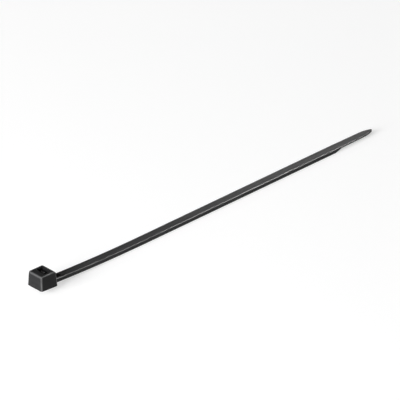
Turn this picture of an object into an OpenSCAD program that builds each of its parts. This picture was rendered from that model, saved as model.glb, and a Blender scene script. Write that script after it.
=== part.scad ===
// Cable tie moulded in one piece: a head with its slot and locking pawl, and a toothed strap.
// The origin is the middle of the slot's mouth, in the underside of the head. The tie lies on its
// toothed side: +X runs level along the strap to the tip, and +Z points up. The strap took a
// slight set where it leaves the head, so the head leans by that angle about Y.

/* [Strap] */
// Length of the strap from the head to the tip
strap_l = 105.3; // [70:0.1:300]
// Width of the strap
strap_w = 2.5; // [2.2:0.1:3.2]
// Thickness of the strap
strap_t = 1.05; // [0.9:0.05:1.4]
// Width of the bevel along the strap's long edges
strap_bevel = 0.15; // [0.05:0.01:0.25]
// Height of the strap's underside above the head's underside
strap_z = 0.05; // [0.05:0.05:0.5]

/* [Bow] */
// Angle through which the strap's set turns it
bow_angle = 3.6; // [1:0.1:8]
// Radius of the strap's underside along the set
bow_r = 500; // [200:10:900]

/* [Teeth] */
// Distance from one tooth to the next
tooth_pitch = 0.7; // [0.5:0.05:1.2]
// Depth of the teeth below their crests
tooth_depth = 0.35; // [0.2:0.05:0.5]
// Length of the flat on each crest
crest_l = 0.1; // [0.05:0.05:0.2]
// Length over which the steep side of a tooth falls
steep_l = 0.06; // [0.02:0.02:0.2]
// Width of the band of teeth
rack_w = 1.5; // [1.2:0.1:1.9]
// Height of the side rails over the crests
rail_h = 0.08; // [0.04:0.02:0.2]
// Plain length of strap between the head and the first tooth
plain_l = 7; // [4:1:20]

/* [Tail] */
// Length of the smooth tail, with its ramp
tail_l = 13; // [8:1:25]
// Thickness of the tail
tail_t = 0.45; // [0.4:0.05:0.8]
// Width of the tail where its point begins
tail_w = 2.2; // [1.6:0.1:2.4]
// Length of the ramp up to the teeth
ramp_l = 2.1; // [1:0.1:4]
// Length of the point
point_l = 3.5; // [2:0.1:5]
// Radius of the nose of the point
nose_r = 0.4; // [0.1:0.05:0.5]

/* [Head] */
// Length of the head's underside, along the strap
head_l = 5.3; // [4.8:0.1:8]
// Width of the head's underside
head_w = 5.4; // [4.8:0.1:8]
// Length of the head's top
head_top_l = 4.9; // [4.4:0.1:5.2]
// Width of the head's top
head_top_w = 4.9; // [4.2:0.1:5.2]
// Height of the head, at its middle
head_h = 4; // [3.4:0.1:6]
// Angle at which the head's top rises towards the strap
top_rise = 2; // [0:0.5:4]
// Radius of the head's upright edges
edge_r = 0.45; // [0.1:0.05:0.6]
// Radius of the edges along the sides of the head's top
rim_r = 0.35; // [0.1:0.05:0.5]
// Radius of the top edge away from the strap
heel_r = 0.55; // [0.3:0.05:0.7]
// Radius of the top edge on the strap's side
shoulder_r = 0.8; // [0.3:0.05:0.9]

/* [Slot] */
// Clearance of the slot across the strap's thickness
slot_play = 0.35; // [0.05:0.05:0.4]
// Clearance of the slot at each edge of the strap
side_play = 0.25; // [0.05:0.05:0.3]
// Bevel round the mouth of the slot
mouth_bevel = 0.35; // [0.1:0.05:0.5]
// Length of the pocket beside the slot, into which the pawl bends
pocket_l = 0.55; // [0.5:0.05:0.7]
// Height of the floor of the pocket, from which the pawl rises
ledge_z = 1; // [0.8:0.1:1.4]

/* [Pawl] */
// Clearance at each side of the pawl, between the rails of the strap
pawl_play = 0.04; // [0.02:0.01:0.15]
// Distance from the slot to the neck of the pawl
neck_gap = 0.05; // [0.02:0.01:0.1]
// Thickness of the neck, which bends
neck_t = 0.36; // [0.25:0.01:0.4]
// Length of the neck above the ledge
neck_l = 0.4; // [0.2:0.05:0.6]
// Thickness of the pawl's tip
pawl_tip_t = 0.5; // [0.4:0.05:0.6]
// Distance that the pawl's tip reaches into the slot
pawl_reach = 0.85; // [0.7:0.05:1]
// Distance from the head's top down to the pawl's tip
pawl_drop = 0.25; // [0.1:0.05:0.5]
// Clearance under the tips of the pawl's teeth, in the teeth of the strap
tooth_play = 0.1; // [0.05:0.01:0.15]
// Number of teeth on the pawl
pawl_teeth = 3; // [1:1:3]

/* [Root] */
// Length of the recess in the top of the strap, from the head
recess_l = 3.1; // [1.5:0.1:4]
// Width of the recess
recess_w = 1.3; // [0.8:0.1:1.5]
// Depth of the recess
recess_h = 0.5; // [0.2:0.05:0.6]
// Diameter of the mark that the moulding gate left
gate_d = 0.6; // [0.4:0.1:0.8]
// Distance that the mark reaches beyond the head's underside
gate_l = 0.3; // [0.1:0.05:0.6]

/* [Hidden] */
nylon_black = [0.07, 0.07, 0.075];
round_facets = 48;
bow_facets = 3600;
rim_steps = 5;
ogive_steps = 8;
nose_steps = 5;
edge_turn = 22.5;
cut_over = 1;
root_in = 0.6;
seat_in = 0.2;

slot_l = strap_t + slot_play;
slot_w = strap_w + 2 * side_play;
crest_h = rail_h;
valley_h = crest_h + tooth_depth;
strap_top_z = strap_z + strap_t;

root_x = head_l / 2 - root_in;
bow_l = bow_r * bow_angle * PI / 180;
bow_end_x = root_x * cos(bow_angle) + (strap_z + bow_r) * sin(bow_angle);
lie_z = strap_z * cos(bow_angle) - root_x * sin(bow_angle) - bow_r * (1 - cos(bow_angle));
tip_s = root_in + strap_l;
tail_s = tip_s - tail_l;
rack_s = root_in + plain_l;
tooth_count = floor((tail_s - rack_s) / tooth_pitch);
rack_end_s = rack_s + tooth_count * tooth_pitch;

pawl_w = rack_w - 2 * pawl_play;
pawl_tooth_h = tooth_depth - tooth_play;
pawl_tip = [slot_l / 2 - pawl_reach, head_h - pawl_drop];
neck_x = slot_l / 2 + neck_gap;
neck_z = ledge_z + neck_l;
pawl_lean = (neck_x - pawl_tip[0]) / (pawl_tip[1] - neck_z);

// Points along an arc about a centre, from one angle to another
function arc(centre, r, from, to, steps) = [
    for (i = [0 : steps])
        let (turn = from + (to - from) * i / steps)
            centre + r * [cos(turn), sin(turn)]
];

// Point of the strap's side view as it lies, s along its underside and h above it
function strap_point(s, h) =
    let (turn_left = max(0, bow_l - s) / bow_r * 180 / PI)
        [
            bow_end_x + max(0, s - bow_l) - (bow_r - h) * sin(turn_left),
            lie_z + bow_r - (bow_r - h) * cos(turn_left)
        ];

// Distance from the middle of a rectangle with round corners to its side that faces a direction
function reach(l, w, turn) =
    (l / 2 - edge_r) * abs(cos(turn)) + (w / 2 - edge_r) * abs(sin(turn)) + edge_r;

// Extrudes a side view, drawn in X and Z, by a width centred on Y
module side_plate(width) {
    rotate([90, 0, 0])
        linear_extrude(width, center = true)
            children();
}

// Turns what is built on the head's underside to the angle at which the head leans
module lean() {
    rotate([0, bow_angle, 0])
        children();
}

// Moves what is built along a straight strap, in s and h, to the level part of the strap
module along_strap() {
    translate([bow_end_x - bow_l, 0, lie_z])
        children();
}

// Section of the strap: -X is up, and Y lies across it
module strap_section() {
    side_y = strap_w / 2;
    face_y = side_y - strap_bevel;
    polygon([
        [-strap_bevel, -side_y],
        [0, -face_y],
        [0, face_y],
        [-strap_bevel, side_y],
        [strap_bevel - strap_t, side_y],
        [-strap_t, face_y],
        [-strap_t, -face_y],
        [strap_bevel - strap_t, -side_y]
    ]);
}

// The stretch of strap that is bowed, from inside the head's wall
module bowed_strap() {
    translate([bow_end_x, 0, lie_z])
        translate([0, 0, bow_r])
            rotate([90, 0, 0])
                rotate_extrude(angle = bow_angle, start = 270 - bow_angle, $fn = bow_facets)
                    translate([bow_r, 0])
                        strap_section();
}

// Outline of the strap's level part seen from above: the tail narrows to an ogive with a round nose
module strap_plan() {
    half = tail_w / 2;
    ogive_x = tip_s - point_l;
    ogive_l = point_l - nose_r;
    ogive_r = (pow(ogive_l, 2) + pow(half, 2) - pow(nose_r, 2)) / (2 * (half - nose_r));
    nose_turn = atan2(ogive_r - half, ogive_l);
    edge = concat(
        [[bow_l - cut_over, strap_w], [tail_s, strap_w], [tail_s, strap_w / 2]],
        arc([ogive_x, half - ogive_r], ogive_r, 90, nose_turn, ogive_steps),
        arc([tip_s - nose_r, 0], nose_r, nose_turn * (1 - 1 / nose_steps), 0, nose_steps - 1)
    );
    last = len(edge) - 1;
    polygon(concat(edge, [for (i = [last - 1 : -1 : 0]) [edge[i][0], -edge[i][1]]]));
}

// The level stretch of strap, cut to its outline
module level_strap() {
    along_strap()
        intersection() {
            translate([bow_l, 0, 0])
                rotate([0, 90, 0])
                    linear_extrude(tip_s - bow_l)
                        strap_section();
            translate([0, 0, -cut_over])
                linear_extrude(strap_t + 2 * cut_over)
                    strap_plan();
        }
}

// What is cut from the underside to leave the teeth: each has its steep side towards the head
module rack_cut() {
    valley = [[0, crest_h], [crest_l, crest_h], [tooth_pitch - steep_l, valley_h]];
    side_plate(rack_w)
        polygon(concat(
            [strap_point(rack_s, -cut_over)],
            [
                for (i = [0 : tooth_count - 1], corner = valley)
                    strap_point(rack_s + i * tooth_pitch + corner[0], corner[1])
            ],
            [strap_point(rack_end_s, crest_h), strap_point(rack_end_s, -cut_over)]
        ));
}

// What is cut from the underside to thin the tail
module tail_cut() {
    rise = strap_t - tail_t;
    along_strap()
        side_plate(2 * strap_w)
            polygon([
                [tail_s - cut_over * ramp_l / rise, -cut_over],
                [tail_s + ramp_l, rise],
                [tip_s + cut_over, rise],
                [tip_s + cut_over, -cut_over]
            ]);
}

// The recess in the strap's top, with a round far end
module recess_cut() {
    end_x = head_l / 2 + recess_l - recess_w / 2;
    lean()
        translate([0, 0, strap_top_z - recess_h])
            linear_extrude(recess_h + cut_over)
                union() {
                    translate([0, -recess_w / 2])
                        square([end_x, recess_w]);
                    translate([end_x, 0])
                        circle(d = recess_w, $fn = round_facets);
                }
}

// The strap with its teeth, tail and recess
module strap() {
    difference() {
        union() {
            bowed_strap();
            level_strap();
        }
        rack_cut();
        tail_cut();
        recess_cut();
    }
}

// Side view of the head: two sides that lean in to the top, with round corners there
module head_profile(base_half, top_half, left_r, right_r) {
    slant = atan((base_half - top_half) / head_h);
    side = tan((90 - slant) / 2);
    low_half = base_half + cut_over * tan(slant);
    polygon(concat(
        [[-low_half, -cut_over], [low_half, -cut_over]],
        arc([top_half - right_r * side, head_h - right_r], right_r, slant, 90, rim_steps),
        arc([left_r * side - top_half, head_h - left_r], left_r, 90, 180 - slant, rim_steps)
    ));
}

// The head's outside above its underside, where plates of that profile meet that are turned about Z
module head_block() {
    intersection() {
        translate([0, 0, head_h / 2])
            rotate([0, -top_rise, 0])
                translate([0, 0, -head_h / 2])
                    intersection_for(turn = [0 : edge_turn : 180 - edge_turn])
                        rotate([0, 0, turn])
                            side_plate(2 * (head_l + head_w))
                                head_profile(
                                    reach(head_l, head_w, turn),
                                    reach(head_top_l, head_top_w, turn),
                                    turn == 0 ? heel_r : rim_r,
                                    turn == 0 ? shoulder_r : rim_r
                                );
        translate([-head_l, -head_w, 0])
            cube([2 * head_l, 2 * head_w, 2 * head_h]);
    }
}

// The slot through the head, with the pocket beside it
module slot_cut() {
    pocket_x = slot_l / 2 + pocket_l;
    side_plate(slot_w)
        polygon([
            [-slot_l / 2, -cut_over],
            [slot_l / 2, -cut_over],
            [slot_l / 2, ledge_z],
            [pocket_x, ledge_z],
            [pocket_x, head_h + cut_over],
            [-slot_l / 2, head_h + cut_over]
        ]);
}

// One pair of the bevels at the slot's mouth
module mouth_pair(half) {
    low = half + mouth_bevel + cut_over;
    high = half - seat_in;
    side_plate(2 * (slot_w + mouth_bevel + cut_over))
        polygon([
            [-low, -cut_over],
            [low, -cut_over],
            [high, mouth_bevel + seat_in],
            [-high, mouth_bevel + seat_in]
        ]);
}

// The bevelled mouth, which leads the tail into the slot
module mouth_cut() {
    intersection() {
        mouth_pair(slot_l / 2);
        rotate([0, 0, 90])
            mouth_pair(slot_w / 2);
    }
}

// The pawl: a neck on the ledge, and teeth whose steep sides face up
module pawl() {
    teeth = [
        for (i = [1 : pawl_teeth - 1])
            let (crest = pawl_tip + i * tooth_pitch * [pawl_lean, -1])
                each [crest + [pawl_tooth_h, 0], crest]
    ];
    side_plate(pawl_w)
        polygon(concat(
            [
                [neck_x + neck_t, ledge_z - seat_in],
                [neck_x + neck_t, neck_z],
                pawl_tip + [pawl_tip_t, 0],
                pawl_tip
            ],
            teeth,
            [[neck_x, neck_z], [neck_x, ledge_z - seat_in]]
        ));
}

// The round mark of the moulding gate, where the head meets the recess
module gate_mark() {
    translate([root_x, 0, strap_top_z])
        rotate([0, 90, 0])
            cylinder(h = root_in + gate_l, d = gate_d, $fn = round_facets);
}

// The head with its pawl, built upright on its underside
module head() {
    difference() {
        head_block();
        slot_cut();
        mouth_cut();
    }
    pawl();
    gate_mark();
}

// The whole tie
module cable_tie() {
    color(nylon_black) {
        strap();
        lean()
            head();
    }
}

cable_tie();
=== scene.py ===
"""A black nylon cable tie, laid on its toothed side on a pale floor under soft studio light.

The tie is built in millimetres and turned to metres once it is whole; lights, floor and bumps are
in metres. The head is built upright on its underside and then leaned; the strap is built straight,
in s along it and h above its underside, and then laid along its bow. One closed mesh stands for
the CAD solid.
"""
import math
import random

import bmesh
import bpy
from mathutils import Matrix, Vector

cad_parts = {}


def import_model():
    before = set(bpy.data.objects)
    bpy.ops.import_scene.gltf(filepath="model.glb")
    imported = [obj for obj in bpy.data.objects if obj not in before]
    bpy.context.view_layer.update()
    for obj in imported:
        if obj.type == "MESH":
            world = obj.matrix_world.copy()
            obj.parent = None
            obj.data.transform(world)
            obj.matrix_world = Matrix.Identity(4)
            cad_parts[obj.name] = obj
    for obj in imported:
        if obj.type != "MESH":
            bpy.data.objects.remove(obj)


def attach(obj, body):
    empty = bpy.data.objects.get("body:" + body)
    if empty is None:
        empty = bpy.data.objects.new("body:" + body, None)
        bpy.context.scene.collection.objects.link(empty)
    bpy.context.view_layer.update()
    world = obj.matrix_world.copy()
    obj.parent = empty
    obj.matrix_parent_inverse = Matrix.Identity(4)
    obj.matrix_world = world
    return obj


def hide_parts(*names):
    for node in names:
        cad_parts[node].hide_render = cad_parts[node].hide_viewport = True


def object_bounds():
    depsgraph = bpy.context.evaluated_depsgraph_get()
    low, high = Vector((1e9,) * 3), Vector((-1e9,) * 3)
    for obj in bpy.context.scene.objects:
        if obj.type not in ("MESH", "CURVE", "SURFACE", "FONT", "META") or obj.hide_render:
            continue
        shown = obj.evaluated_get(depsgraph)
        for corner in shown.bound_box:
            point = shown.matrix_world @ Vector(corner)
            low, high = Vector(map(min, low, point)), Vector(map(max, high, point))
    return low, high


MM = 0.001
rng = random.Random(7)

# The photograph's camera: its turn, its place in millimetres along its own right, up and back,
# and its reach in metres
AZIMUTH = 39.932
ELEVATION = 29.5858
ROLL = -2.9409
LENS_MM = 1500
SENSOR_MM = 36
VIEW_ACROSS = 38.443
VIEW_UP = 20.84
VIEW_BACK = 4068.3
CLIP_END = 100

# Studio: its palest direction, the cosine from which a view along that is palest, and its greys
PALE_SIDE = (-0.9, 0.35, 0.3)
PALE_AT = 0.9
STUDIO_DIM = 0.06
STUDIO_PALE = 0.85

# Floor: its reach from the middle in metres, its looks, and how much it glows for the camera
FLOOR_REACH = 8.0
FLOOR_GREY = 0.5
FLOOR_ROUGHNESS = 0.9
FLOOR_GLOW = 0.55

# Nylon: the head is smooth and the strap has a fine grain; the strap is painted paler as a sheen,
# and the rounds of edges paler still as a painted highlight with a little rubbing
HEAD_DARK = (0.009, 0.009, 0.0095)
HEAD_PALE = (0.014, 0.014, 0.0145)
STRAP_DARK = (0.025, 0.025, 0.0255)
STRAP_PALE = (0.039, 0.039, 0.0395)
EDGE_HIGHLIGHT_PALE = (0.08, 0.08, 0.081)
FACE_GLOSS = 0.13
EDGE_GLOSS = 0.9
SMOOTHEST = 0.3
ROUGHEST = 0.4
LEAST_RUB_AND_HIGHLIGHT = 0.6

# Length over which the head's colour turns into the strap's paler painted sheen
BLEND_L = 1.0

# Largest radius of a round that gets the full painted highlight and rubbing
RUB_AND_HIGHLIGHT_R = 0.45

# Least turn between faces that stays a sharp edge, and how much a large face steers its corners
SHARP_TURN = math.radians(32)
FACE_WEIGHT = 100

# Strap
STRAP_L = 105.3
STRAP_W = 2.5
STRAP_T = 1.05
STRAP_Z = 0.05
BOW_ANGLE = math.radians(3.6)
BOW_R = 500
PLAIN_L = 7
TOP_EDGE_R = 0.2
LOW_EDGE_R = 0.05

# Teeth, between the rails
TOOTH_PITCH = 0.7
TOOTH_DEPTH = 0.35
TOOTH_CORNER_R = 0.03
CREST_L = 0.1
STEEP_L = 0.06
RACK_W = 1.5
RAIL_H = 0.08

# Tail
TAIL_L = 13
TAIL_T = 0.45
TAIL_W = 2.2
RAMP_L = 2.1
POINT_L = 3.5
NOSE_R = 0.4

# Most of the half width and of the thickness that the round of an edge takes at the nose
TOP_EDGE_SHARES = (0.6, 0.45)
LOW_EDGE_SHARES = (0.4, 0.35)

# Head
HEAD_L = 5.3
HEAD_W = 5.4
HEAD_TOP_L = 4.9
HEAD_TOP_W = 4.9
HEAD_H = 4.0
TOP_RISE = math.tan(math.radians(2))
EDGE_R = 0.45
RIM_R = 0.35
HEEL_R = 0.55
SHOULDER_R = 0.8
FOOT_R = 0.1

# Share of the upright edges' radius that is left at the top
EDGE_LEFT = 0.55

# Slot
SLOT_PLAY = 0.35
SIDE_PLAY = 0.25
MOUTH_BEVEL = 0.35
LEDGE_Z = 1.0
POCKET_L = 0.55
SLOT_CORNER_R = 0.18
LIP_R = 0.1

# Growth of the corners' radius for each millimetre down the mouth's bevel
MOUTH_SPREAD = 0.6

# Share of the bevel's height at which it has a ring
MOUTH_RING = 0.9

# Pawl
PAWL_PLAY = 0.04
TOOTH_PLAY = 0.1
PAWL_TEETH = 3
PAWL_REACH = 0.85
PAWL_DROP = 0.25
PAWL_TIP_T = 0.5
PAWL_EDGE_R = 0.05
NECK_GAP = 0.05
NECK_L = 0.4
NECK_T = 0.36
SEAT_IN = 0.3

# Root
ROOT_IN = 0.6
RECESS_L = 3.1
RECESS_W = 1.3
RECESS_H = 0.5
RECESS_DRAFT = 0.06
RECESS_RIM_R = 0.06
RECESS_FLOOR_R = 0.1
GATE_R = 0.3
GATE_L = 0.3
GATE_SIDES = 24

# Steps in a quarter turn or a corner: the head's edges, the slot's corners, the strap's edges, the
# head's foot and the slot's lip, the smallest rounds, the recess's end, and the teeth
CORNER_STEPS = 14
SLOT_STEPS = 6
TOP_EDGE_STEPS = 6
LOW_EDGE_STEPS = 4
SMALL_STEPS = 4
TINY_STEPS = 3
RECESS_STEPS = 8
TOOTH_STEPS = 2

# Most of a side that a rounded corner of an outline takes
CORNER_SHARE = 0.4

# Steps along the strap, and the turns at which its nose has sections
BOW_STEPS = 40
LEVEL_STEPS = 10
RAMP_STEPS = 4
TAIL_STEPS = 4
POINT_STEPS = 14
NOSE_TURNS = (15, 30, 45, 58, 70, 80, 86)

# Cutters: how far they reach out, overlap and stay clear of each other's walls, and their step
# along the strap
CUT_OVER = 0.5
CUT_LAP = 0.2
CUT_GAP = 0.01
CUT_STEP = 2

# Derived sizes and places
BOW_L = BOW_R * BOW_ANGLE
ROOT_X = HEAD_L / 2 - ROOT_IN
BOW_END_X = ROOT_X * math.cos(BOW_ANGLE) + (STRAP_Z + BOW_R) * math.sin(BOW_ANGLE)
BOW_DROP = ROOT_X * math.sin(BOW_ANGLE) + BOW_R * (1 - math.cos(BOW_ANGLE))
LIE_Z = STRAP_Z * math.cos(BOW_ANGLE) - BOW_DROP
TIP_S = ROOT_IN + STRAP_L
NOSE_S = TIP_S - NOSE_R
POINT_S = TIP_S - POINT_L
TAIL_S = TIP_S - TAIL_L
RACK_S = ROOT_IN + PLAIN_L
TOOTH_COUNT = int((TAIL_S - RACK_S) / TOOTH_PITCH)
RACK_END_S = RACK_S + TOOTH_COUNT * TOOTH_PITCH
STRAP_TOP_Z = STRAP_Z + STRAP_T
SLOT_L = STRAP_T + SLOT_PLAY
SLOT_W = STRAP_W + 2 * SIDE_PLAY
POCKET_X = SLOT_L / 2 + POCKET_L
PAWL_W = RACK_W - 2 * PAWL_PLAY
PAWL_TOOTH_H = TOOTH_DEPTH - TOOTH_PLAY
PAWL_TIP_X = SLOT_L / 2 - PAWL_REACH
PAWL_TIP_Z = HEAD_H - PAWL_DROP
NECK_X = SLOT_L / 2 + NECK_GAP
NECK_Z = LEDGE_Z + NECK_L


# Points and outlines

def lean(p):
    """A point built on the head's underside, at the head's lean."""
    x, y, z = p
    c, s = math.cos(BOW_ANGLE), math.sin(BOW_ANGLE)
    return (x * c + z * s, y, z * c - x * s)


def lay(p):
    """A point of the straight strap, given as s, y and h, where the strap lies."""
    s, y, h = p
    left = max(0.0, BOW_L - s) / BOW_R
    x = BOW_END_X + max(0.0, s - BOW_L) - (BOW_R - h) * math.sin(left)
    return (x, y, LIE_Z + BOW_R - (BOW_R - h) * math.cos(left))


def quarter(steps):
    """Sine and cosine pairs over a quarter turn."""
    turns = [math.pi / 2 * i / steps for i in range(steps + 1)]
    return [(math.sin(t), math.cos(t)) for t in turns]


def arc(cx, cy, r, start, end, steps):
    """Points of an arc, from one angle to another in degrees."""
    turns = [math.radians(start + (end - start) * i / steps) for i in range(steps + 1)]
    return [(cx + r * math.cos(t), cy + r * math.sin(t)) for t in turns]


def round_box(x0, x1, half, r, steps):
    """Outline of a rectangle from x0 to x1 with round corners."""
    return (
        arc(x1 - r, half - r, r, 0, 90, steps)
        + arc(x0 + r, half - r, r, 90, 180, steps)
        + arc(x0 + r, r - half, r, 180, 270, steps)
        + arc(x1 - r, r - half, r, 270, 360, steps)
    )


def round_corners(outline, r, steps):
    """A closed outline with an arc-like curve of about radius r at each corner."""
    out = []
    for i, p in enumerate(outline):
        p = Vector(p)
        before, after = Vector(outline[i - 1]) - p, Vector(outline[(i + 1) % len(outline)]) - p
        reach = min(r, before.length * CORNER_SHARE, after.length * CORNER_SHARE)
        a, b = p + before.normalized() * reach, p + after.normalized() * reach
        for k in range(steps + 1):
            t = k / steps
            out.append(tuple(a * (1 - t) ** 2 + p * 2 * t * (1 - t) + b * t ** 2))
    return out


def inset(outline, d):
    """A closed outline moved inwards by d; it runs anticlockwise."""
    out = []
    for i, p in enumerate(outline):
        p = Vector(p)
        before, after = p - Vector(outline[i - 1]), Vector(outline[(i + 1) % len(outline)]) - p
        sides = [Vector((-side.y, side.x)).normalized() for side in (before, after)]
        out.append(tuple(p + (sides[0] + sides[1]).normalized() * d))
    return out


# Meshes

def loft(name, rings, place):
    """A closed mesh object through rings of as many points each, with a flat face at each end.

    The function place says where each of the points goes.
    """
    mesh = bpy.data.meshes.new(name)
    bm = bmesh.new()
    rows = [[bm.verts.new(place(p)) for p in ring] for ring in rings]
    count = len(rings[0])
    for a, b in zip(rows, rows[1:]):
        for i in range(count):
            j = (i + 1) % count
            bm.faces.new((a[i], a[j], b[j], b[i]))
    bm.faces.new(rows[0])
    bm.faces.new(rows[-1])
    bmesh.ops.recalc_face_normals(bm, faces=bm.faces)
    bm.to_mesh(mesh)
    bm.free()
    obj = bpy.data.objects.new(name, mesh)
    bpy.context.collection.objects.link(obj)
    return obj


def combine(obj, other, operation):
    """Adds the other object to this one or cuts it away, and deletes the other."""
    mod = obj.modifiers.new(operation, "BOOLEAN")
    mod.operation = operation
    mod.solver = "MANIFOLD"
    mod.object = other
    bpy.context.view_layer.update()
    depsgraph = bpy.context.evaluated_depsgraph_get()
    made = bpy.data.meshes.new_from_object(obj.evaluated_get(depsgraph))
    obj.modifiers.remove(mod)
    obj.data = made
    bpy.data.objects.remove(other)


def mark_edges(mesh):
    """Stores on each face how much painted highlight and rubbing it gets: 1 on the middle of a
    small round, 0 on a flat.
    """
    bm = bmesh.new()
    bm.from_mesh(mesh)
    marks = []
    for face in bm.faces:
        turn = sum(edge.calc_face_angle_signed(0.0) * edge.calc_length() for edge in face.edges)
        curve = min(1.0, max(0.0, RUB_AND_HIGHLIGHT_R * turn / (2 * face.calc_area() + 1e-9)))
        slant = (1 - max(abs(value) for value in face.normal)) / (1 - math.sqrt(0.5))
        marks.append(curve * math.sqrt(slant))
    bm.free()
    mesh.attributes.new("edge", "FLOAT", "FACE").data.foreach_set("value", marks)


# Head

def slant_top(p):
    """A point of the upright head after its top is turned up towards the strap."""
    x, y, z = p
    return (x + (HEAD_H / 2 - z) * TOP_RISE, y, z + x * TOP_RISE * z / HEAD_H)


def side_reach(top, base, r, turned):
    """Distance from the head's middle to a side at its rim of radius r, where it has turned in.

    The last value is the cosine of that turn: 1 where the rim's round starts, and 0 on the top.
    """
    slope = (base - top) / HEAD_H
    return top - r + (r + slope * r) * turned


def rim_radius(x, y):
    """Radius of the rim's round over a point: the ends are rounder than the long sides."""
    end = max(0.0, (abs(x) - HEAD_TOP_L / 2 + SHOULDER_R) / SHOULDER_R)
    flank = max(0.0, (abs(y) - HEAD_TOP_W / 2 + RIM_R) / RIM_R)
    share = end ** 2 / (end ** 2 + flank ** 2) if end + flank > 0 else 0.0
    end_r = HEEL_R if x < 0 else SHOULDER_R
    return RIM_R + (end_r - RIM_R) * share


def head_block():
    """The head's outside: sides that lean in, with round upright edges and a round rim."""
    half_l, half_w = HEAD_L / 2, HEAD_W / 2
    top_l, top_w = HEAD_TOP_L / 2, HEAD_TOP_W / 2
    rings = []
    for s, c in quarter(SMALL_STEPS):
        d = FOOT_R * (1 - s)
        outline = round_box(d - half_l, half_l - d, half_w - d, EDGE_R, CORNER_STEPS)
        rings.append([(x, y, FOOT_R * (1 - c)) for x, y in outline])
    for s, c in quarter(CORNER_STEPS):
        outline = round_box(
            -side_reach(top_l, half_l, HEEL_R, c),
            side_reach(top_l, half_l, SHOULDER_R, c),
            side_reach(top_w, half_w, RIM_R, c),
            EDGE_R * (EDGE_LEFT + (1 - EDGE_LEFT) * c),
            CORNER_STEPS,
        )
        rings.append([(x, y, HEAD_H - rim_radius(x, y) * (1 - s)) for x, y in outline])
    return loft("head", rings, lambda p: lean(slant_top(p)))


def slot_cutter():
    """What the slot takes out below the pawl's ledge, with its bevelled mouth."""
    rings = []
    for z in (-CUT_OVER, MOUTH_BEVEL * MOUTH_RING, MOUTH_BEVEL, LEDGE_Z + CUT_LAP):
        grow = max(0.0, MOUTH_BEVEL - z)
        outline = round_box(
            CUT_GAP - SLOT_L / 2 - grow,
            SLOT_L / 2 + grow,
            SLOT_W / 2 + grow - CUT_GAP,
            SLOT_CORNER_R + grow * MOUTH_SPREAD,
            SLOT_STEPS,
        )
        rings.append([(x, y, z) for x, y in outline])
    return loft("slot", rings, lean)


def pocket_outline(grow):
    """Outline of the slot with its pocket, grown on all sides."""
    x0, x1 = -SLOT_L / 2 - grow, POCKET_X + grow
    return round_box(x0, x1, SLOT_W / 2 + grow, SLOT_CORNER_R + grow, SLOT_STEPS)


def pocket_cutter():
    """What the slot takes out above the ledge, with a small round lip at the head's top."""
    rings = [[(x, y, LEDGE_Z) for x, y in pocket_outline(0.0)]]
    lip = [(LIP_R * (1 - c), LIP_R * (1 - s)) for s, c in quarter(SMALL_STEPS)]
    for grow, drop in lip + [(LIP_R, -CUT_OVER)]:
        rings.append([(x, y, HEAD_H + TOP_RISE * x - drop) for x, y in pocket_outline(grow)])
    return loft("pocket", rings, lean)


def pawl_outline():
    """Side view of the pawl: a neck on the ledge, and teeth whose steep sides face up."""
    slope = (NECK_X - PAWL_TIP_X) / (PAWL_TIP_Z - NECK_Z)
    outline = [
        (NECK_X + NECK_T, LEDGE_Z - SEAT_IN),
        (NECK_X + NECK_T, NECK_Z),
        (PAWL_TIP_X + PAWL_TIP_T, PAWL_TIP_Z),
        (PAWL_TIP_X, PAWL_TIP_Z),
    ]
    for i in range(1, PAWL_TEETH):
        x, z = PAWL_TIP_X + i * TOOTH_PITCH * slope, PAWL_TIP_Z - i * TOOTH_PITCH
        outline += [(x + PAWL_TOOTH_H, z), (x, z)]
    outline += [(NECK_X, NECK_Z), (NECK_X, LEDGE_Z - SEAT_IN)]
    return round_corners(outline, PAWL_EDGE_R, TINY_STEPS)


def pawl():
    """The pawl, with its edges rounded."""
    outline = pawl_outline()
    rings = []
    for side in (-1, 1):
        for s, c in quarter(TINY_STEPS)[::side]:
            y = side * (PAWL_W / 2 - PAWL_EDGE_R + PAWL_EDGE_R * c)
            rings.append([(x, y, z) for x, z in inset(outline, PAWL_EDGE_R * (1 - s))])
    return loft("pawl", rings, lean)


def gate_mark():
    """The rough round mark of the moulding gate, where the head meets the recess.

    Each ring is given by its distances back from the mark's end and in from its side, and by how
    rough it is.
    """
    end = HEAD_L / 2 + GATE_L
    start = end - ROOT_X
    turn = 360 / GATE_SIDES
    rings = []
    for back, d, rough in (
        (start, 0, 0), (0.1, 0, 0), (0.03, 0.02, 0.02), (0, 0.09, 0.03), (0.04, 0.2, 0.03)
    ):
        ring = arc(0, 0, GATE_R - d, 0, 360 - turn, GATE_SIDES - 1)
        rings.append([
            (end - back + rng.uniform(-rough, 0), y, STRAP_TOP_Z + z) for y, z in ring
        ])
    return loft("gate", rings, lean)


# Strap

def half_width(s):
    """Half the strap's width: it narrows a little along the tail and then to a round point."""
    half = TAIL_W / 2
    if s <= TAIL_S:
        return STRAP_W / 2
    if s <= POINT_S:
        return STRAP_W / 2 + (half - STRAP_W / 2) * (s - TAIL_S) / (POINT_S - TAIL_S)
    length = POINT_L - NOSE_R
    r = (length ** 2 + half ** 2 - NOSE_R ** 2) / (2 * (half - NOSE_R))
    t = s - POINT_S
    join = length + NOSE_R * length / r
    if t < join:
        return math.sqrt(r * r - t * t) - (r - half)
    return math.sqrt(max(0.0, NOSE_R ** 2 - (t - length) ** 2))


def underside(s):
    """Height of the strap's underside, which rises by a ramp to the thin tail."""
    return (STRAP_T - TAIL_T) * min(1.0, max(0.0, (s - TAIL_S) / RAMP_L))


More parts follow.
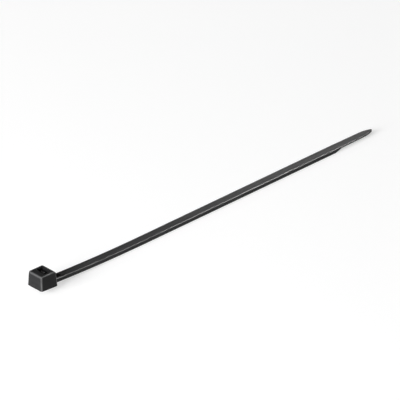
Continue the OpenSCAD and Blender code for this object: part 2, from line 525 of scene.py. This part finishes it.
def strap_section(s):
    """The strap's section at s, with round edges."""
    half, low = half_width(s), underside(s)
    thick = STRAP_T - low
    top_r = min(TOP_EDGE_R, half * TOP_EDGE_SHARES[0], thick * TOP_EDGE_SHARES[1])
    low_r = min(LOW_EDGE_R, half * LOW_EDGE_SHARES[0], thick * LOW_EDGE_SHARES[1])
    right = arc(half - low_r, low + low_r, low_r, -90, 0, LOW_EDGE_STEPS)
    right += arc(half - top_r, STRAP_T - top_r, top_r, 0, 90, TOP_EDGE_STEPS)
    left = [(-y, h) for y, h in reversed(right)]
    return [(s, y, h) for y, h in right + left]


def strap_body():
    """The strap before its teeth and recess are cut."""
    stops = [0.0]
    for end, steps in (
        (BOW_L, BOW_STEPS),
        (TAIL_S, LEVEL_STEPS),
        (TAIL_S + RAMP_L, RAMP_STEPS),
        (POINT_S, TAIL_STEPS),
        (NOSE_S, POINT_STEPS),
    ):
        start = stops[-1]
        stops += [start + (end - start) * i / steps for i in range(1, steps + 1)]
    stops += [NOSE_S + NOSE_R * math.sin(math.radians(turn)) for turn in NOSE_TURNS]
    return loft("strap", [strap_section(s) for s in stops], lay)


def rack_cutter():
    """What the teeth leave out of the underside: each has its steep side towards the head."""
    crest, valley = RAIL_H, RAIL_H + TOOTH_DEPTH
    line = []
    for i in range(TOOTH_COUNT):
        s = RACK_S + i * TOOTH_PITCH
        line += [(s, crest), (s + CREST_L, crest), (s + TOOTH_PITCH - STEEP_L, valley)]
    line += [(RACK_END_S, crest), (RACK_END_S, -CUT_OVER)]
    length = RACK_END_S - RACK_S
    steps = int(length / CUT_STEP)
    line += [(RACK_END_S - length * i / steps, -CUT_OVER) for i in range(1, steps + 1)]
    line = round_corners(line[::-1], TOOTH_CORNER_R, TOOTH_STEPS)
    rings = [[(s, y, h) for s, h in line] for y in (-RACK_W / 2, RACK_W / 2)]
    return loft("rack", rings, lay)


def recess_cutter():
    """The recess in the strap's top: a round far end and walls with a little draft."""
    end_x = HEAD_L / 2 + RECESS_L - RECESS_W / 2
    start_x = HEAD_L / 2 - 2 * ROOT_IN
    floor = STRAP_TOP_Z - RECESS_H
    levels = [
        (-RECESS_DRAFT - RECESS_FLOOR_R * (1 - s), floor + RECESS_FLOOR_R * (1 - c))
        for s, c in quarter(TINY_STEPS)
    ]
    levels += [
        (RECESS_RIM_R * (1 - c), STRAP_TOP_Z - RECESS_RIM_R * (1 - s))
        for s, c in quarter(TINY_STEPS)
    ]
    levels += [(RECESS_RIM_R, STRAP_TOP_Z + CUT_OVER)]
    rings = []
    for grow, z in levels:
        r = RECESS_W / 2 + grow
        outline = arc(end_x, 0, r, -90, 90, 2 * RECESS_STEPS) + [(start_x, r), (start_x, -r)]
        rings.append([(x, y, z) for x, y in outline])
    return loft("recess", rings, lean)


def tie():
    """The whole tie as one closed mesh, in metres."""
    head = head_block()
    mark_edges(head.data)
    combine(head, slot_cutter(), "DIFFERENCE")
    combine(head, pocket_cutter(), "DIFFERENCE")
    strap = strap_body()
    mark_edges(strap.data)
    combine(strap, rack_cutter(), "DIFFERENCE")
    combine(strap, recess_cutter(), "DIFFERENCE")
    catch = pawl()
    mark_edges(catch.data)
    for piece in (head, catch, gate_mark()):
        combine(strap, piece, "UNION")
    strap.name = strap.data.name = "tie"
    for vertex in strap.data.vertices:
        vertex.co *= MM
    for polygon in strap.data.polygons:
        polygon.use_smooth = True
    strap.data.set_sharp_from_angle(angle=SHARP_TURN)
    normals = strap.modifiers.new("even shading", "WEIGHTED_NORMAL")
    normals.keep_sharp = True
    normals.weight = FACE_WEIGHT
    return strap


# Materials

def grey(value):
    """A grey as a colour."""
    return (value, value, value)


def new_material(name):
    """A new material, with its node tree and its shader."""
    mat = bpy.data.materials.new(name)
    mat.use_nodes = True
    tree = mat.node_tree
    return mat, tree, tree.nodes["Principled BSDF"]


def noise(tree, coords, scale, detail, roughness=0.5, stretch=(1, 1, 1)):
    """Noise over the object's own coordinates."""
    place = tree.nodes.new("ShaderNodeMapping")
    place.inputs["Scale"].default_value = stretch
    tree.links.new(coords, place.inputs["Vector"])
    node = tree.nodes.new("ShaderNodeTexNoise")
    node.inputs["Scale"].default_value = scale
    node.inputs["Detail"].default_value = detail
    node.inputs["Roughness"].default_value = roughness
    tree.links.new(place.outputs["Vector"], node.inputs["Vector"])
    return node.outputs["Fac"]


def ramp(tree, value, low, high, start=0.3, end=0.7):
    """A colour ramp over a value, from the low colour at start to the high one at end."""
    node = tree.nodes.new("ShaderNodeValToRGB")
    for element, place, colour in zip(node.color_ramp.elements, (start, end), (low, high)):
        element.position = place
        element.color = (*colour, 1)
    tree.links.new(value, node.inputs["Fac"])
    return node.outputs["Color"]


def bump(tree, height, strength, distance, below=None):
    """A bump from a height, over another bump if one is given."""
    node = tree.nodes.new("ShaderNodeBump")
    node.inputs["Strength"].default_value = strength
    node.inputs["Distance"].default_value = distance
    tree.links.new(height, node.inputs["Height"])
    if below:
        tree.links.new(below, node.inputs["Normal"])
    return node.outputs["Normal"]


def blend(tree, factor, first, second):
    """A colour that goes from the first to the second; the second is a socket or plain values."""
    node = tree.nodes.new("ShaderNodeMix")
    node.data_type = "RGBA"
    tree.links.new(factor, node.inputs["Factor"])
    tree.links.new(first, node.inputs["A"])
    if isinstance(second, tuple):
        node.inputs["B"].default_value = (*second, 1)
    else:
        tree.links.new(second, node.inputs["B"])
    return node.outputs["Result"]


def calculate(tree, operation, first, second):
    """The result of an operation on a socket and another socket or a plain value."""
    node = tree.nodes.new("ShaderNodeMath")
    node.operation = operation
    tree.links.new(first, node.inputs[0])
    if isinstance(second, float):
        node.inputs[1].default_value = second
    else:
        tree.links.new(second, node.inputs[1])
    return node.outputs[0]


def spread(tree, value, source=(0, 1), target=(0, 1)):
    """A value mapped from one range to another."""
    node = tree.nodes.new("ShaderNodeMapRange")
    node.inputs["From Min"].default_value, node.inputs["From Max"].default_value = source
    node.inputs["To Min"].default_value, node.inputs["To Max"].default_value = target
    tree.links.new(value, node.inputs["Value"])
    return node.outputs["Result"]


def along(tree, coords):
    """0 on the head and 1 on the strap, from the place along X."""
    parts = tree.nodes.new("ShaderNodeSeparateXYZ")
    tree.links.new(coords, parts.inputs[0])
    start = HEAD_L / 2
    return spread(tree, parts.outputs["X"], source=(start * MM, (start + BLEND_L) * MM))


def nylon():
    """Satin black nylon: flow marks, a fine grain, uneven gloss, a strap painted paler than the
    head as a sheen, and edges painted paler as a highlight with a little rubbing.
    """
    mat, tree, shader = new_material("black_nylon")
    coords = tree.nodes.new("ShaderNodeTexCoord").outputs["Object"]
    flow = noise(tree, coords, scale=900, detail=4, roughness=0.6, stretch=(0.12, 1, 1))
    patch = noise(tree, coords, scale=420, detail=3)
    grain = noise(tree, coords, scale=9000, detail=3, roughness=0.6)

    # The strap is painted paler than the head, a painted sheen for its brighter top
    head = ramp(tree, flow, HEAD_DARK, HEAD_PALE)
    strap = ramp(tree, flow, STRAP_DARK, STRAP_PALE)
    plain = blend(tree, along(tree, coords), head, strap)
    # Painted highlight on the rounds of edges, with a little rubbing, in random patches; the same
    # mask raises their gloss
    edge = tree.nodes.new("ShaderNodeAttribute")
    edge.attribute_name = "edge"
    rub_and_highlight_patches = ramp(tree, patch, grey(LEAST_RUB_AND_HIGHLIGHT), grey(1.0), start=0.25, end=0.75)
    rub_and_highlight = calculate(tree, "MULTIPLY", edge.outputs["Fac"], rub_and_highlight_patches)
    tree.links.new(blend(tree, rub_and_highlight, plain, EDGE_HIGHLIGHT_PALE), shader.inputs["Base Color"])

    rough = ramp(tree, patch, grey(SMOOTHEST), grey(ROUGHEST))
    tree.links.new(rough, shader.inputs["Roughness"])
    gloss = spread(tree, rub_and_highlight, target=(FACE_GLOSS, EDGE_GLOSS))
    tree.links.new(gloss, shader.inputs["Specular IOR Level"])
    wave = bump(tree, patch, strength=0.25, distance=0.00006)
    skin = bump(tree, grain, strength=0.3, distance=0.000012, below=wave)
    tree.links.new(skin, shader.inputs["Normal"])
    return mat


def floor_material():
    """Pale floor that keeps the shadow, and shows white where light falls on it."""
    mat, tree, shader = new_material("floor")
    shader.inputs["Base Color"].default_value = (*grey(FLOOR_GREY), 1)
    shader.inputs["Roughness"].default_value = FLOOR_ROUGHNESS
    shader.inputs["Specular IOR Level"].default_value = 0
    path = tree.nodes.new("ShaderNodeLightPath")
    seen = path.outputs["Is Camera Ray"]
    for kind in ("Is Glossy Ray", "Is Transmission Ray"):
        seen = calculate(tree, "MAXIMUM", seen, path.outputs[kind])
    shader.inputs["Emission Color"].default_value = (1, 1, 1, 1)
    glow = calculate(tree, "MULTIPLY", seen, FLOOR_GLOW)
    tree.links.new(glow, shader.inputs["Emission Strength"])
    return mat


# Camera, floor and light

def directions():
    """The camera's right, up and back."""
    a, e, roll = math.radians(AZIMUTH), math.radians(ELEVATION), math.radians(ROLL)
    back = Vector((-math.sin(a) * math.cos(e), -math.cos(a) * math.cos(e), math.sin(e)))
    level = Vector((math.cos(a), -math.sin(a), 0))
    rise = back.cross(level)
    right = level * math.cos(roll) + rise * math.sin(roll)
    return right, back.cross(right), back


def make_camera():
    """The photograph's camera, far off with a long lens."""
    right, up, back = directions()
    data = bpy.data.cameras.new("camera")
    data.lens = LENS_MM
    data.sensor_width = SENSOR_MM
    data.clip_end = CLIP_END
    camera = bpy.data.objects.new("camera", data)
    bpy.context.collection.objects.link(camera)
    camera.location = (right * VIEW_ACROSS + up * VIEW_UP + back * VIEW_BACK) * MM
    camera.rotation_mode = "QUATERNION"
    camera.rotation_quaternion = Matrix((right, up, back)).transposed().to_quaternion()
    bpy.context.scene.camera = camera


def area_light(name, direction, distance, size, power, target, card=False):
    """A light that faces a point on the X axis, at the target's metres along it.

    A card shows only in reflections, and a light that is no card never does.
    """
    data = bpy.data.lights.new(name, "AREA")
    data.shape = "RECTANGLE"
    data.size, data.size_y = size
    data.energy = power
    lamp = bpy.data.objects.new(name, data)
    bpy.context.collection.objects.link(lamp)
    away = Vector(direction).normalized()
    lamp.location = Vector((target, 0, 0)) + away * distance
    lamp.rotation_mode = "QUATERNION"
    lamp.rotation_quaternion = away.to_track_quat("Z", "Y")
    lamp.visible_camera = False
    lamp.visible_diffuse = not card
    lamp.visible_glossy = card


def make_lights():
    """A key light beyond the head's end, and cards for the heel, the strap's edge and the tail."""
    area_light(
        "key", direction=(-0.98, -0.02, 0.2), distance=0.9, size=(0.6, 0.6), power=24.0, target=0.05
    )
    area_light(
        "heel card", direction=(-0.75, 0.64, 0.15), distance=0.6, size=(0.2, 0.2), power=0.1,
        target=0.0, card=True
    )
    area_light(
        "edge card", direction=(0.56, -0.09, 0.82), distance=0.2, size=(0.06, 0.05), power=0.62,
        target=0.078, card=True
    )
    area_light(
        "far card", direction=(0.56, 0.67, 0.49), distance=0.2, size=(0.1, 0.07), power=0.055,
        target=0.115, card=True
    )


def make_world():
    """A studio that is palest beyond the head's end and dim beyond the strap's."""
    world = bpy.data.worlds.new("studio")
    bpy.context.scene.world = world
    world.use_nodes = True
    tree = world.node_tree
    coords = tree.nodes.new("ShaderNodeTexCoord").outputs["Generated"]
    side = tree.nodes.new("ShaderNodeVectorMath")
    side.operation = "DOT_PRODUCT"
    side.inputs[1].default_value = PALE_SIDE
    tree.links.new(coords, side.inputs[0])
    dim, pale = grey(STUDIO_DIM), grey(STUDIO_PALE)
    colour = ramp(tree, side.outputs["Value"], dim, pale, start=0.0, end=PALE_AT)
    tree.links.new(colour, tree.nodes["Background"].inputs["Color"])


def make_floor(height):
    """The floor that the tie lies on."""
    mesh = bpy.data.meshes.new("floor")
    corners = [
        (x * FLOOR_REACH, y * FLOOR_REACH, height) for x, y in ((-1, -1), (1, -1), (1, 1), (-1, 1))
    ]
    mesh.from_pydata(corners, [], [(0, 1, 2, 3)])
    floor = bpy.data.objects.new("floor", mesh)
    bpy.context.collection.objects.link(floor)
    mesh.materials.append(floor_material())


def main():
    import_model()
    cad_low, cad_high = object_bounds()
    make_camera()
    bpy.context.scene.view_settings.view_transform = "Standard"
    make_world()
    make_floor(cad_low.z)
    make_lights()
    piece = tie()
    piece.data.materials.clear()
    piece.data.materials.append(nylon())
    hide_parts("cable_tie")
    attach(piece, "root")


main()
